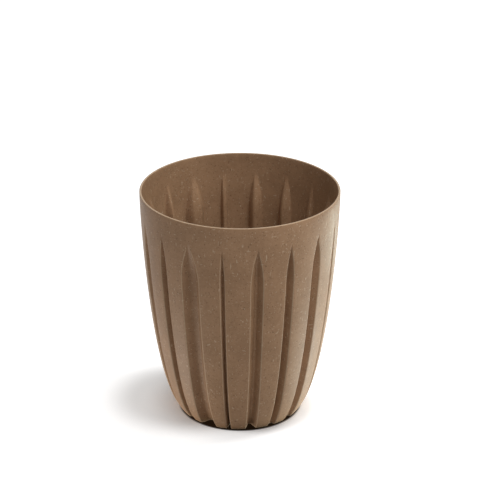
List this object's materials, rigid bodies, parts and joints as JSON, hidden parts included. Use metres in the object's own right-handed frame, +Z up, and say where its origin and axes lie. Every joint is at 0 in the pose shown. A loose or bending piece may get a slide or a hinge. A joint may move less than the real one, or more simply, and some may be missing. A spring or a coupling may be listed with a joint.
{
  "type": "flower pot",
  "caption": "Round fluted flower pot in fibre-filled plastic, curving in to a notched foot, with drain holes in a raised floor closed by push-in rubber plugs.",
  "frame": {"origin": "centre of the circle that the foot stands on", "axes": "+Z up along the axis of the pot, -Y towards the side that the picture shows"},
  "size_m": [0.2, 0.2, 0.238],
  "materials": {
    "composite": "satin moulded plastic with fine light and dark wood fibres",
    "stopper": "matt soft rubber"
  },
  "bodies": {
    "pot": {"pot_body": "composite"},
    "plug_1": {"drain_plug_1": "stopper"},
    "plug_2": {"drain_plug_2": "stopper"},
    "plug_3": {"drain_plug_3": "stopper"},
    "plug_4": {"drain_plug_4": "stopper"}
  },
  "joints": [
    {"name": "plug_1_pull", "type": "slide", "parent": "pot", "child": "plug_1", "axis": [0, 0, -1], "range_m": [0, 0.008]},
    {"name": "plug_2_pull", "type": "slide", "parent": "pot", "child": "plug_2", "axis": [0, 0, -1], "range_m": [0, 0.008]},
    {"name": "plug_3_pull", "type": "slide", "parent": "pot", "child": "plug_3", "axis": [0, 0, -1], "range_m": [0, 0.008]},
    {"name": "plug_4_pull", "type": "slide", "parent": "pot", "child": "plug_4", "axis": [0, 0, -1], "range_m": [0, 0.008]}
  ]
}
